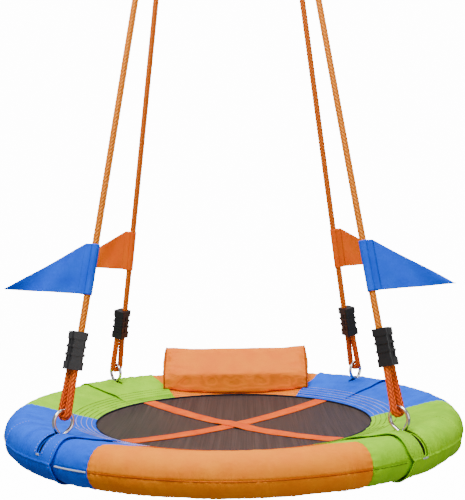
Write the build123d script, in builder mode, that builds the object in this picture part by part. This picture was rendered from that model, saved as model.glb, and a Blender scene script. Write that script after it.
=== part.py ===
"""Saucer nest swing: a padded round seat that hangs on four ropes from two carabiners.

Frame: +Z up, +X to the sitter's side, -Y the front. The origin is on the hang line, midway
between the points where the two carabiners bear on what holds them, and the seat hangs below.
"""

import os
from math import asin, cos, degrees, pi, radians, sin, sqrt

from build123d import *

os.makedirs("parts", exist_ok=True)

# ---- driving dimensions, mm ----
HANG_HEIGHT = 1803.0  # hang line above the middle of the padded ring
RING_R = 468.0  # centre line of the padded ring
PAD_R = 40.0  # outer radius of the padded ring's section
COVER_T = 2.0
SEAM_GAP = 0.04  # degrees left between two cover panels
MESH_R = 312.0  # visible edge of the mesh
MESH_HEM = 22.0  # mesh held under the border
MESH_T = 1.2
MESH_SAG = 15.0
BORDER_Z = 3.0  # top of the border at the mesh's edge
BORDER_TOP_R = 457.0
BORDER_TOP_Z = 38.6

TUBE_R = 13.5
TUBE_WALL = 1.5
SPIGOT_LENGTH = 48.0
SPIGOT_FIT = 0.15
SCREW_R = 2.5
FOAM_R = 37.6
FOAM_GAP = 3.5  # degrees each side of a hanger

ROD_R = 4.0  # rod of the hangers and the top rings
HANGER_LOOP_R = 18.0
EYE_R = 21.0
EYE_TOP = 87.0  # centre of the eye's top rod above the tube's centre, along the rope
EYE_FOOT = 38.0  # bottom of the eye's rod centre line, just above the cuff
SHANK_R = 4.6  # joins the eye to the loop round the tube
EYE_FOOT_R = 5.0
SLIT_WIDTH = 14.0
SLIT_INNER_R = 438.0
SLIT_LOW_Z = -6.0

CUFF_IN_R = 40.4
CUFF_T = 3.0
CUFF_BORDER_R = 330.0
PILLOW_ROOM = 3.0  # between a back cuff's flap and the pillow

STRAP_WIDTH = 38.0
STRAP_T = 2.0

ROPE_R = 7.5
ROPE_TURN_R = 12.4  # rope centre line round a rod
ROPE_EASE = 7.0  # half the length of the slight bend where a strand meets a block
STRAND_GAP = 8.0  # each strand's offset in an adjuster or a sleeve
ADJUSTER_LOW = 166.0  # along the rope, from the tube's centre
ADJUSTER_LENGTH = 74.0
ADJUSTER_WIDTH = 32.0
ADJUSTER_DEPTH = 36.0
ADJUSTER_TWIST = 18.0
ADJUSTER_BORE_R = 7.8
ADJUSTER_TRAVEL = 40.0
GROOVE_LOW = 16.0  # lower edge of an adjuster's lowest groove
GROOVE_STEP = 16.0
GROOVE_HEIGHT = 11.0
CORE_DEPTH = 32.8  # an adjuster's section inside its grooves
CORE_WIDTH = 29.0
POST_WIDTH = 4.0
TAIL_IN_ADJUSTER = 58.0
SLEEVE_LOW = 138.0  # below the top ring's rod, along the rope
SLEEVE_HIGH = 68.0

FLAG_HOIST = 102.0
FLAG_REACH = 164.0
FLAG_RISE = 13.0
FLAG_T = 1.2
FLAG_FRONT_LOW = 305.0  # height above the seat of a front flag's lower corner
FLAG_BACK_LOW = 340.0

TOP_RING_R = 33.0
TOP_RING_X = 77.0
TOP_ANGLE = 18.0  # where on the ring a rope's eye sits, from its lowest point

CARABINER_ROD_R = 4.5
CARABINER_BEND_R = 16.5
CARABINER_STRAIGHT = 48.0
GATE_R = 4.0
TONGUE_T = 3.2
PIN_R = 1.5
CLEARANCE = 0.3

PILLOW_LENGTH = 392.0
PILLOW_WALL = 1.8
PILLOW_SEAT_R = PAD_R + 3.8  # the ring's section as the pillow's hollow underside clears it
PILLOW_OUTLINE = (
    (309.0, 4.0),
    (307.0, 14.0),
    (307.0, 52.0),
    (383.0, 124.0),
    (393.0, 125.0),
    (462.0, 54.0),
    (466.0, 30.0),
    (400.0, 4.0),
)

SEAT_Z = -HANG_HEIGHT
HANGER_ANGLES = {
    "front_right": -45.0,
    "back_right": 45.0,
    "back_left": 135.0,
    "front_left": 225.0,
}
seat_axis = Axis((0, 0, SEAT_Z), (0, 0, 1))


def polar(radius, angle, z=0.0):
    """A point at a radius and an angle round the seat's axis, z above the padded ring's middle."""
    a = radians(angle)
    return Vector(radius * cos(a), radius * sin(a), SEAT_Z + z)


def seat_plane(angle):
    """The upright plane through the seat's axis at an angle: its x is the radius, its y is up."""
    a = radians(angle)
    return Plane(
        origin=(0, 0, SEAT_Z), x_dir=(cos(a), sin(a), 0), z_dir=(sin(a), -cos(a), 0)
    )


def save(part, name):
    """Label a finished piece and write its STEP file."""
    part.label = name
    export_step(part, f"parts/{name}.step")


# ---- heights of the carabiners and top rings ----
carabiner_top_z = CARABINER_ROD_R
carabiner_low_z = carabiner_top_z - CARABINER_STRAIGHT - 2 * CARABINER_BEND_R
low_bend_z = carabiner_low_z + CARABINER_BEND_R
top_bend_z = low_bend_z + CARABINER_STRAIGHT
gate_pin_z = low_bend_z + 6.0
gate_top_z = top_bend_z - 4.0
ring_z = carabiner_low_z + CARABINER_ROD_R + ROD_R + CLEARANCE - TOP_RING_R


def rope_frame(name):
    """A rope's two ends, its direction, and the side directions of its lower and upper eyes."""
    side = 1 if "right" in name else -1
    fore = -1 if "front" in name else 1
    low = polar(RING_R, HANGER_ANGLES[name])
    a = radians(TOP_ANGLE)
    top = Vector(side * TOP_RING_X, fore * TOP_RING_R * sin(a), ring_z - TOP_RING_R * cos(a))
    along = (top - low).normalized()
    tangent = Vector(-side, fore, 0).normalized()
    low_side = (tangent - along * tangent.dot(along)).normalized()
    across = Vector(side, 0, 0)
    top_side = (across - along * across.dot(along)).normalized()
    return low, top, along, low_side, top_side


def rope_route(name):
    """The rope's points: tail in the adjuster, round the hanger's eye, up, round the top ring."""
    low, top, along, low_side, top_side = rope_frame(name)

    def near(height, offset):
        return low + along * height + low_side * offset

    def far(depth, offset):
        return top - along * depth + top_side * offset

    return [
        near(ADJUSTER_LOW + TAIL_IN_ADJUSTER, -STRAND_GAP),
        near(ADJUSTER_LOW - 8, -STRAND_GAP),
        near(EYE_TOP - ROPE_TURN_R, -ROPE_TURN_R),
        near(EYE_TOP - ROPE_TURN_R, ROPE_TURN_R),
        near(ADJUSTER_LOW - 8, STRAND_GAP),
        near(ADJUSTER_LOW + ADJUSTER_LENGTH + ADJUSTER_TRAVEL + 12, STRAND_GAP),
        far(SLEEVE_LOW + 8, STRAND_GAP),
        far(SLEEVE_HIGH - 8, STRAND_GAP),
        far(-ROPE_TURN_R, ROPE_TURN_R),
        far(-ROPE_TURN_R, -ROPE_TURN_R),
        far(SLEEVE_HIGH - 8, -STRAND_GAP),
        far(SLEEVE_LOW - 6, -STRAND_GAP),
    ]


def bend_radii(points):
    """Each corner's radius: a rod's at the eyes, and a slight bend's clear of the blocks."""
    radii = []
    for before, at, after in zip(points, points[1:], points[2:]):
        turn = radians((at - before).get_angle(after - at))
        if degrees(turn) > 60:
            radii.append(ROPE_TURN_R - 0.02)
        else:
            radii.append(min(ROPE_EASE / (turn / 2), 4000.0))
    return radii


# ---- ropes, adjusters, rope-end sleeves and flags ----
for name in HANGER_ANGLES:
    low, top, along, low_side, top_side = rope_frame(name)
    points = rope_route(name)
    radii = bend_radii(points)

    with BuildPart() as rope:
        with BuildLine() as path:
            FilletPolyline(*points, radius=radii)
        with BuildSketch(Plane(origin=points[0], z_dir=points[1] - points[0])):
            Circle(ROPE_R)
        sweep(path=path.wires()[0])
    save(rope.part, f"rope_{name}")
    length = path.wires()[0].length
    by_section = rope.part.volume / (pi * ROPE_R**2)
    print(f"rope_{name}: length {length:.1f}, volume over section {by_section:.1f}")
    print("  radii", [round(r, 1) for r in radii])

    # two bores side by side: the standing strand's runs through, the tail's is blind
    bore_plane = Plane(origin=low + along * ADJUSTER_LOW, x_dir=low_side, z_dir=along)
    hand = 1 if name in ("front_left", "back_right") else -1
    twist = radians(-hand * ADJUSTER_TWIST)
    block_x = low_side * cos(twist) + along.cross(low_side) * sin(twist)
    block_plane = Plane(origin=bore_plane.origin, x_dir=block_x, z_dir=along)
    with BuildPart() as adjuster:
        with BuildSketch(block_plane):
            RectangleRounded(ADJUSTER_DEPTH, ADJUSTER_WIDTH, 4)
        extrude(amount=ADJUSTER_LENGTH)
        # three grooves leave two bands, two thin ribs and a post up each wide face
        for row in range(3):
            with BuildSketch(block_plane.offset(GROOVE_LOW + GROOVE_STEP * row)):
                Rectangle(2 * ADJUSTER_DEPTH, 2 * ADJUSTER_WIDTH)
                RectangleRounded(CORE_DEPTH, CORE_WIDTH, 5, mode=Mode.SUBTRACT)
                Rectangle(POST_WIDTH, ADJUSTER_WIDTH, mode=Mode.SUBTRACT)
            extrude(amount=GROOVE_HEIGHT, mode=Mode.SUBTRACT)
        with BuildSketch(bore_plane):
            with Locations((STRAND_GAP, 0)):
                Circle(ADJUSTER_BORE_R)
        extrude(amount=ADJUSTER_LENGTH, mode=Mode.SUBTRACT)
        with BuildSketch(bore_plane):
            with Locations((-STRAND_GAP, 0)):
                Circle(ADJUSTER_BORE_R)
        extrude(amount=TAIL_IN_ADJUSTER + 4, mode=Mode.SUBTRACT)
    save(adjuster.part, f"rope_adjuster_{name}")

    sleeve_plane = Plane(origin=top - along * SLEEVE_LOW, x_dir=top_side, z_dir=along)
    with BuildPart() as sleeve:
        with BuildSketch(sleeve_plane):
            SlotCenterToCenter(2 * STRAND_GAP, 2 * ROPE_R + 5)
            with Locations((STRAND_GAP, 0), (-STRAND_GAP, 0)):
                Circle(ROPE_R + 0.1, mode=Mode.SUBTRACT)
        extrude(amount=SLEEVE_LOW - SLEEVE_HIGH)
    save(sleeve.part, f"rope_sleeve_{name}")

    # a right-angled pennant that points away from the swing, with a sleeve round the rope
    run_dir = (points[6] - points[5]).normalized()
    flag_low = FLAG_FRONT_LOW if "front" in name else FLAG_BACK_LOW
    foot = points[5] + run_dir * ((SEAT_Z + flag_low - points[5].Z) / run_dir.Z)
    outward = Vector(1 if "right" in name else -1, 0, 0)
    outward = (outward - run_dir * outward.dot(run_dir)).normalized()
    hoist_x = ROPE_R + CLEARANCE + 0.4
    tip_y = (FLAG_RISE - FLAG_REACH * outward.Z) / run_dir.Z
    with BuildPart() as flag:
        with BuildSketch(Plane(origin=foot, x_dir=outward, z_dir=outward.cross(run_dir))):
            with BuildLine():
                Polyline((hoist_x, 0), (hoist_x, FLAG_HOIST), (FLAG_REACH, tip_y), close=True)
            make_face()
        extrude(amount=FLAG_T / 2, both=True)
        with BuildSketch(Plane(origin=foot, x_dir=outward, z_dir=run_dir)):
            Circle(ROPE_R + CLEARANCE + FLAG_T)
            Circle(ROPE_R + CLEARANCE, mode=Mode.SUBTRACT)
        extrude(amount=FLAG_HOIST)
    save(flag.part, f"flag_{name}")
    print("  flag foot", [round(v, 3) for v in foot], "axis", [round(v, 6) for v in run_dir])
    print("  rope axis", [round(v, 6) for v in along])

# ---- top rings and carabiners ----
for hand, side in (("left", -1), ("right", 1)):
    x = side * TOP_RING_X
    with BuildPart() as top_ring:
        with BuildSketch(Plane(origin=(x, 0, ring_z), x_dir=(0, 1, 0), z_dir=(0, 0, 1))):
            with Locations((TOP_RING_R, 0)):
                Circle(ROD_R)
        revolve(axis=Axis((x, 0, ring_z), (1, 0, 0)), revolution_arc=360)
    save(top_ring.part, f"top_ring_{hand}")

    # the gate is on the outer side; the body runs from its hinge round to its nose
    gate_x = x + side * CARABINER_BEND_R
    spine_x = x - side * CARABINER_BEND_R
    tongue_top = gate_pin_z + 4.5
    pin_plane = Plane(origin=(gate_x, 0, gate_pin_z), z_dir=(0, 1, 0))
    with BuildPart() as carabiner:
        with BuildLine() as outline:
            Line((gate_x, 0, tongue_top), (gate_x, 0, low_bend_z))
            ThreePointArc(
                (gate_x, 0, low_bend_z), (x, 0, carabiner_low_z), (spine_x, 0, low_bend_z)
            )
            Line((spine_x, 0, low_bend_z), (spine_x, 0, top_bend_z))
            ThreePointArc(
                (spine_x, 0, top_bend_z), (x, 0, carabiner_top_z), (gate_x, 0, top_bend_z)
            )
            Line((gate_x, 0, top_bend_z), (gate_x, 0, gate_top_z + 0.5))
        with BuildSketch(Plane(origin=(gate_x, 0, tongue_top), z_dir=(0, 0, -1))):
            Circle(CARABINER_ROD_R)
        sweep(path=outline.wires()[0])
        # the lower end is flattened to a tongue that the gate's fork straddles
        for end in (1, -1):
            with Locations((gate_x, end * (TONGUE_T / 2 + 4), gate_pin_z - 0.4)):
                Box(12, 8, 10.6, mode=Mode.SUBTRACT)
        with Locations(pin_plane):
            Cylinder(PIN_R + 0.05, 20, mode=Mode.SUBTRACT)
    save(carabiner.part, f"carabiner_body_{hand}")

    with BuildPart() as gate:
        with BuildSketch(Plane.XY.offset(gate_pin_z - 3.0)):
            with Locations((gate_x, 0)):
                Circle(GATE_R)
        extrude(amount=gate_top_z - gate_pin_z + 3.0)
        with Locations((gate_x, 0, gate_pin_z)):
            Box(12, TONGUE_T + 0.5, 13.2, mode=Mode.SUBTRACT)
        with Locations(pin_plane):
            Cylinder(PIN_R + 0.05, 20, mode=Mode.SUBTRACT)
    save(gate.part, f"carabiner_gate_{hand}")

    with BuildPart() as gate_pin:
        with Locations(pin_plane):
            Cylinder(PIN_R, 2 * GATE_R + 1.0)
    save(gate_pin.part, f"carabiner_pin_{hand}")
print("swing pivot z", carabiner_low_z, "gate pin x, z", gate_x, gate_pin_z)


# ---- the steel ring: four arcs, each with a spigot in the next one's open end ----
def bar_section(radius, angle):
    """A disc on the ring's centre line, ready to be turned round the seat's axis."""
    with BuildSketch(seat_plane(angle)) as section:
        with Locations((RING_R, 0)):
            Circle(radius)
    return section.sketch


spigot_arc = degrees(SPIGOT_LENGTH / RING_R)
screw_arc = spigot_arc / 2
neck_arc = 1.2  # degrees of swaged neck that joins a tube to its spigot
tube_starts = {"back_right": 0.0, "back_left": 90.0, "front_left": 180.0, "front_right": 270.0}

for name, start in tube_starts.items():
    end = start + 90
    with BuildPart() as tube:
        revolve(bar_section(TUBE_R, start + 0.05), seat_axis, 89.9)
        revolve(
            bar_section(TUBE_R - TUBE_WALL, start - 1), seat_axis, 91 - neck_arc, mode=Mode.SUBTRACT
        )
        revolve(
            bar_section(TUBE_R - TUBE_WALL - SPIGOT_FIT, end - neck_arc / 2),
            seat_axis,
            spigot_arc + neck_arc / 2,
        )
        revolve(
            bar_section(TUBE_R - 2 * TUBE_WALL, end - 2 * neck_arc),
            seat_axis,
            spigot_arc + 3 * neck_arc,
            mode=Mode.SUBTRACT,
        )
        for joint in (start, end):
            with Locations(polar(RING_R, joint + screw_arc, -TUBE_R + 2)):
                Cylinder(SCREW_R + 0.15, 9, mode=Mode.SUBTRACT)
    save(tube.part, f"frame_tube_{name}")

with BuildPart() as frame_screws:
    for start in tube_starts.values():
        with Locations(polar(RING_R, start + screw_arc, -TUBE_R + 1)):
            Cylinder(SCREW_R, 11)
        with Locations(polar(RING_R, start + screw_arc, -TUBE_R - 5)):
            Cylinder(2 * SCREW_R, 3.2)
save(frame_screws.part, "frame_screws")

# ---- hangers: a loop round the tube, a shank and a pear-shaped eye, in the rope's radial plane ----
eye_centre = EYE_TOP - EYE_R
lean = asin((EYE_R - EYE_FOOT_R) / (eye_centre - EYE_FOOT - EYE_FOOT_R))
foot_centre = EYE_FOOT + EYE_FOOT_R


def side_point(centre, radius, end):
    """Where a straight side of the eye touches one of its two round ends."""
    return (end * radius * cos(lean), centre - radius * sin(lean))


for name in HANGER_ANGLES:
    low, top, along, low_side, top_side = rope_frame(name)
    radial = along.cross(low_side)
    eye_plane = Plane(origin=low, x_dir=radial, z_dir=radial.cross(along))
    head_right = side_point(eye_centre, EYE_R, 1)
    head_left = side_point(eye_centre, EYE_R, -1)
    foot_right = side_point(foot_centre, EYE_FOOT_R, 1)
    foot_left = side_point(foot_centre, EYE_FOOT_R, -1)
    with BuildPart() as hanger:
        with BuildLine(eye_plane) as pear:
            Line(head_right, foot_right)
            ThreePointArc(foot_right, (0, foot_centre - EYE_FOOT_R), foot_left)
            Line(foot_left, head_left)
            ThreePointArc(head_left, (0, EYE_TOP), head_right)
        start = eye_plane.from_local_coords(Vector(*head_right))
        onward = eye_plane.from_local_coords(Vector(*foot_right)) - start
        with BuildSketch(Plane(origin=start, z_dir=onward)):
            Circle(ROD_R)
        sweep(path=pear.wires()[0])
        with BuildSketch(Plane(origin=low, x_dir=radial, z_dir=along)):
            with Locations((HANGER_LOOP_R, 0)):
                Circle(ROD_R)
        revolve(axis=Axis(low, eye_plane.z_dir), revolution_arc=360)
        with BuildSketch(Plane(origin=low + along * HANGER_LOOP_R, z_dir=along)):
            Circle(SHANK_R)
        extrude(amount=EYE_FOOT - HANGER_LOOP_R)
    save(hanger.part, f"hanger_ring_{name}")

# ---- foam sleeves between the hangers ----
foam_starts = {"front": 225.0, "right": 315.0, "back": 45.0, "left": 135.0}
for name, start in foam_starts.items():
    with BuildPart() as foam:
        revolve(bar_section(FOAM_R, start + FOAM_GAP), seat_axis, 90 - 2 * FOAM_GAP)
        revolve(
            bar_section(TUBE_R + CLEARANCE, start), seat_axis, 90, mode=Mode.SUBTRACT
        )
        # room for the head of the screw at the tube joint
        with Locations(polar(RING_R, start + 45 + screw_arc, -TUBE_R - 4.5)):
            Cylinder(2 * SCREW_R + 1, 10, mode=Mode.SUBTRACT)
    save(foam.part, f"foam_sleeve_{name}")

# ---- cover panels: a tube skin and a sloping inner border in one piece ----
panel_starts = {
    "front": 240.0,
    "front_right": 300.0,
    "back_right": 0.0,
    "back": 60.0,
    "back_left": 120.0,
    "front_left": 180.0,
}


def cut_slit(angle):
    """Cut the slit that a hanger comes out of, from the ring's top to its outer side."""
    length = RING_R + PAD_R + 12 - SLIT_INNER_R
    with Locations(seat_plane(angle)):
        with Locations((SLIT_INNER_R + length / 2, SLIT_LOW_Z + 40, 0)):
            Box(length, 80, SLIT_WIDTH, mode=Mode.SUBTRACT)


for name, start in panel_starts.items():
    with BuildPart() as cover:
        with BuildSketch(seat_plane(start + SEAM_GAP)):
            with Locations((RING_R, 0)):
                Circle(PAD_R)
                Circle(PAD_R - COVER_T, mode=Mode.SUBTRACT)
            with BuildLine():
                Polyline(
                    (MESH_R, BORDER_Z - COVER_T),
                    (MESH_R, BORDER_Z),
                    (BORDER_TOP_R, BORDER_TOP_Z),
                    (BORDER_TOP_R, BORDER_TOP_Z - COVER_T),
                    close=True,
                )
            make_face()
        revolve(axis=seat_axis, revolution_arc=60 - 2 * SEAM_GAP)
        if name in HANGER_ANGLES:
            cut_slit(HANGER_ANGLES[name])
    save(cover.part, f"cover_{name}")


# ---- cuffs: a second skin over the ring at each hanger, with a flap over the border ----
def strip_section(inner_r, outer_r, low, high, angle):
    """A strip's section, bent round the ring's section between two angles."""
    with BuildSketch(seat_plane(angle)) as section:
        with BuildLine():
            outer = CenterArc((RING_R, 0), outer_r, low, high - low)
            inner = CenterArc((RING_R, 0), inner_r, low, high - low)
            Line(outer @ 0, inner @ 0)
            Line(outer @ 1, inner @ 1)
        make_face()
    return section.sketch


# each cuff's two ends, in degrees from its hanger
cuff_ends = {
    "front_right": (-5.5, 20.0),
    "back_right": (-11.0, 15.0),
    "back_left": (-15.0, 11.0),
    "front_left": (-20.0, 5.5),
}
for name, (first, last) in cuff_ends.items():
    start = HANGER_ANGLES[name] + first
    with BuildPart() as cuff:
        revolve(
            strip_section(CUFF_IN_R, CUFF_IN_R + CUFF_T, -150, 104, start), seat_axis, last - first
        )
        with BuildSketch(seat_plane(start)):
            with BuildLine():
                Polyline(
                    (CUFF_BORDER_R, 8.0),
                    (CUFF_BORDER_R, 10.0),
                    (RING_R - 9.5, 42.1),
                    (RING_R - 9.5, 39.5),
                    close=True,
                )
            make_face()
        revolve(axis=seat_axis, revolution_arc=last - first)
        cut_slit(HANGER_ANGLES[name])
        if "back" in name:
            with Locations((0, PILLOW_OUTLINE[1][0] - PILLOW_ROOM, SEAT_Z)):
                Box(
                    PILLOW_LENGTH + 2 * PILLOW_ROOM,
                    90,
                    100,
                    align=(Align.CENTER, Align.MIN, Align.CENTER),
                    mode=Mode.SUBTRACT,
                )
    save(cuff.part, f"cuff_{name}")

# ---- mesh seat and cross straps ----
mesh_edge_r = MESH_R + MESH_HEM
bowl_r = MESH_R**2 / (2 * MESH_SAG)


def bowl_z(radius):
    """Height of the mesh's upper face above the padded ring's middle."""
    return 0.4 - MESH_SAG + bowl_r - sqrt(bowl_r**2 - radius**2)


mesh_points = [(r, bowl_z(r)) for r in (0.0, mesh_edge_r / 2, mesh_edge_r)]
with BuildPart() as seat_mesh:
    with BuildSketch(seat_plane(0)):
        with BuildLine():
            face = ThreePointArc(*mesh_points)
            back = ThreePointArc(*[(r, z - MESH_T) for r, z in mesh_points])
            Line(face @ 0, back @ 0)
            Line(face @ 1, back @ 1)
        make_face()
    revolve(axis=seat_axis, revolution_arc=360)
save(seat_mesh.part, "seat_mesh")

STRAP_LIFT = 0.4  # above the mesh
STRAP_STATIONS = (310.0, 240.0, 170.0, 110.0, 64.0)
for name, angle, crossing in (("lower", 45.0, 0.0), ("upper", -45.0, STRAP_T + CLEARANCE)):
    # the upper strap climbs over the lower one at the middle
    half = [(r, bowl_z(r) + STRAP_LIFT) for r in STRAP_STATIONS]
    half.append((27.0, bowl_z(27.0) + STRAP_LIFT + crossing))
    under = [(-r, z) for r, z in half] + half[::-1]
    with BuildPart() as strap:
        with BuildSketch(seat_plane(angle)):
            with BuildLine():
                lower_edge = Spline(*under)
                upper_edge = Spline(*[(r, z + STRAP_T) for r, z in under])
                Line(lower_edge @ 0, upper_edge @ 0)
                Line(lower_edge @ 1, upper_edge @ 1)
            make_face()
        extrude(amount=STRAP_WIDTH / 2, both=True)
    save(strap.part, f"cross_strap_{name}")

# ---- pillow: a wedge that sits on the border and the ring at the back ----
pillow_plane = Plane(origin=(0, 0, SEAT_Z), x_dir=(0, 1, 0), z_dir=(1, 0, 0))


def pillow_section(inset):
    """The pillow's section, shrunk by an inset."""
    with BuildSketch(pillow_plane) as section:
        with BuildLine():
            Polyline(*PILLOW_OUTLINE, close=True)
        make_face()
        if inset > 0:
            offset(amount=-inset, kind=Kind.INTERSECTION, mode=Mode.REPLACE)
    return section.sketch


def pillow_hollow(inset):
    """The ring's and border's section, grown by an inset, that the pillow's underside follows."""
    rise = PILLOW_SEAT_R - PAD_R - 3.0 + inset
    with BuildSketch(seat_plane(0)) as section:
        with Locations((RING_R, 0)):
            Circle(PILLOW_SEAT_R + inset)
        with BuildLine():
            Polyline(
                (MESH_R - 70, -60),
                (MESH_R - 70, BORDER_Z + rise - 17),
                (MESH_R, BORDER_Z + rise),
                (BORDER_TOP_R, BORDER_TOP_Z + rise),
                (RING_R + 10, -60),
                close=True,
            )
        make_face()
    return section.sketch


with BuildPart() as pillow_space:
    extrude(pillow_section(PILLOW_WALL), PILLOW_LENGTH / 2 - PILLOW_WALL, both=True)
    revolve(pillow_hollow(PILLOW_WALL), seat_axis, 360, mode=Mode.SUBTRACT)

with BuildPart() as pillow_case:
    extrude(pillow_section(0), PILLOW_LENGTH / 2, both=True)
    revolve(pillow_hollow(0), seat_axis, 360, mode=Mode.SUBTRACT)
    add(pillow_space.part, mode=Mode.SUBTRACT)
save(pillow_case.part, "pillow_case")

foam_inset = PILLOW_WALL + CLEARANCE
with BuildPart() as pillow_foam:
    extrude(pillow_section(foam_inset), PILLOW_LENGTH / 2 - foam_inset, both=True)
    revolve(pillow_hollow(foam_inset), seat_axis, 360, mode=Mode.SUBTRACT)
save(pillow_foam.part, "pillow_foam")

with BuildPart() as pillow_loop_patch:
    revolve(strip_section(PAD_R + 0.1, PAD_R + 1.1, 12, 78, 82), seat_axis, 16)
save(pillow_loop_patch.part, "pillow_loop_patch")

with BuildPart() as pillow_flap:
    revolve(strip_section(PAD_R + 1.5, PAD_R + 3.3, 6, 96, 81), seat_axis, 18)
save(pillow_flap.part, "pillow_flap")
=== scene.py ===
"""Looks of the saucer nest swing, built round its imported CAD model. Metres, CAD frame."""

from math import asin, atan2, ceil, cos, pi, radians, sin, sqrt

import bmesh
import bpy
import numpy as np
from mathutils import Matrix, Vector, noise
from mathutils.bvhtree import BVHTree


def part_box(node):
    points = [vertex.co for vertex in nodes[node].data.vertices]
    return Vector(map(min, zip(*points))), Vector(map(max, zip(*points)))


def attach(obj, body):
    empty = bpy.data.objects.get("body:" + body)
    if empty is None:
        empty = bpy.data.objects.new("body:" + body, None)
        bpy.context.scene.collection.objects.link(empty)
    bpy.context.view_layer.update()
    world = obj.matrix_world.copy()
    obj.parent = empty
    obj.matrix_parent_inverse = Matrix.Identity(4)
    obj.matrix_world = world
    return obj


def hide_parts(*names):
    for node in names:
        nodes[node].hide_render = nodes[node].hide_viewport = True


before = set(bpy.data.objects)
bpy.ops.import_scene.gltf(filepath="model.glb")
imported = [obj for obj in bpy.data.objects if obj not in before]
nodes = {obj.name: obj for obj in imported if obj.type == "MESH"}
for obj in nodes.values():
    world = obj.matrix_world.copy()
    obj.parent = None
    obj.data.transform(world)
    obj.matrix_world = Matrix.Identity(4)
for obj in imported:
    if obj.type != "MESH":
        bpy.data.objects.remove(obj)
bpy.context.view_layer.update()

# ---- driving dimensions ----
SEAT_Z = sum(corner[2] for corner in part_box("frame_tube_back_right")) / 2
RING_R = 0.468  # centre line of the padded ring
PAD_R = 0.040  # radius of the padded ring's section
MESH_R = 0.312  # visible edge of the mesh
MESH_CUT_R = 0.332  # the mesh with its sewn margin
BORDER_Z = 0.003
BORDER_TOP_R = 0.457
BORDER_TOP_Z = 0.0386
COVER_T = 0.002
CUFF_R = 0.0416  # middle of the cuff's skin
CUFF_BORDER_R = 0.330  # the inner end of its flap on the border
FLAP_TAPER = 0.035  # the length over which the flap thins out there
STRAP_WIDTH = 0.038
STRAP_T = 0.002
STRAP_END_R = 0.322
ROPE_R = 0.0075
FLAG_REACH = 0.164
FLAG_HOIST = 0.102
PILLOW_LENGTH = 0.392

HANGERS = {"front_right": -45, "back_right": 45, "back_left": 135, "front_left": 225}
PANELS = {
    "front": 240,
    "front_right": 300,
    "back_right": 0,
    "back": 60,
    "back_left": 120,
    "front_left": 180,
}
PANEL_SPAN = 60
PANEL_FABRIC = {
    "front": "fabric_orange",
    "back": "fabric_orange",
    "front_right": "fabric_green",
    "back_left": "fabric_green",
    "back_right": "fabric_blue",
    "front_left": "fabric_blue",
}
# each cuff's two ends, in degrees from its hanger
CUFF_ENDS = {
    "front_right": (-5.5, 20.0),
    "back_right": (-11.0, 15.0),
    "back_left": (-15.0, 11.0),
    "front_left": (-20.0, 5.5),
}
seat_centre = Vector((0, 0, SEAT_Z))


def placed(name, data):
    """An object with its data, linked into the scene."""
    made = bpy.data.objects.new(name, data)
    bpy.context.scene.collection.objects.link(made)
    return made


# ---- camera ----
def add_camera(place, yaw, pitch, roll, lens):
    """A camera at a place that looks along +Y, turned by three small angles."""
    ahead = Vector((sin(yaw) * cos(pitch), cos(yaw) * cos(pitch), -sin(pitch)))
    right = Vector((cos(yaw), -sin(yaw), 0))
    up = right.cross(ahead)
    right_rolled = right * cos(roll) + up * sin(roll)
    up_rolled = up * cos(roll) - right * sin(roll)
    camera = placed("camera", bpy.data.cameras.new("camera"))
    turn = Matrix((right_rolled, up_rolled, -ahead)).transposed().to_4x4()
    camera.matrix_world = Matrix.Translation(place) @ turn
    camera.data.lens = lens
    camera.data.clip_end = 50
    bpy.context.scene.camera = camera


add_camera(seat_centre + Vector((0.0350, -1.9, 0.3908)), -0.0170, 0.0009, -0.014, 59.55)


# ---- helpers ----
def mesh_piece(name, verts, faces, body, material=None, uv=None, smooth=True):
    """A mesh object from arrays, riding on a body."""
    mesh = bpy.data.meshes.new(name)
    mesh.from_pydata(np.asarray(verts).tolist(), [], [tuple(f) for f in faces])
    if uv is not None:
        layer = mesh.uv_layers.new(name="cloth")
        corners = np.zeros(len(mesh.loops), np.int32)
        mesh.loops.foreach_get("vertex_index", corners)
        layer.data.foreach_set("uv", np.asarray(uv, np.float32)[corners].ravel())
    mesh.polygons.foreach_set("use_smooth", [smooth] * len(mesh.polygons))
    mesh.update()
    piece = placed(name, mesh)
    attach(piece, body)
    if material is not None:
        mesh.materials.append(material)
    return piece


def clean(piece, distance=1e-6):
    """Weld doubled points and turn every face outward."""
    work = bmesh.new()
    work.from_mesh(piece.data)
    bmesh.ops.remove_doubles(work, verts=work.verts, dist=distance)
    bmesh.ops.dissolve_degenerate(work, edges=work.edges, dist=1e-7)
    bmesh.ops.recalc_face_normals(work, faces=work.faces)
    work.to_mesh(piece.data)
    work.free()


def modify(piece, kind, **settings):
    """Add a modifier with its settings."""
    modifier = piece.modifiers.new(kind.lower(), kind)
    for key, value in settings.items():
        setattr(modifier, key, value)
    return modifier


def bake_modifiers(piece):
    """Replace a piece's mesh with what its modifiers make."""
    bpy.context.view_layer.update()
    graph = bpy.context.evaluated_depsgraph_get()
    baked = bpy.data.meshes.new_from_object(piece.evaluated_get(graph))
    piece.modifiers.clear()
    piece.data = baked


def noise_at(points, octaves=2):
    """Smooth noise, about -1 to 1, at an array of points."""
    return np.array([noise.fractal(Vector(p), 1.0, 2.0, octaves) for p in points])


def tube_faces(rings, sides, closed=False):
    """The faces of a tube of rings of points, with flat ends unless it is closed."""
    faces = []
    for i in range(rings if closed else rings - 1):
        here, there = i * sides, (i + 1) % rings * sides
        for j in range(sides):
            k = (j + 1) % sides
            faces.append((here + j, here + k, there + k, there + j))
    if not closed:
        faces.append(tuple(range(sides))[::-1])
        faces.append(tuple(range((rings - 1) * sides, rings * sides)))
    return faces


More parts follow.
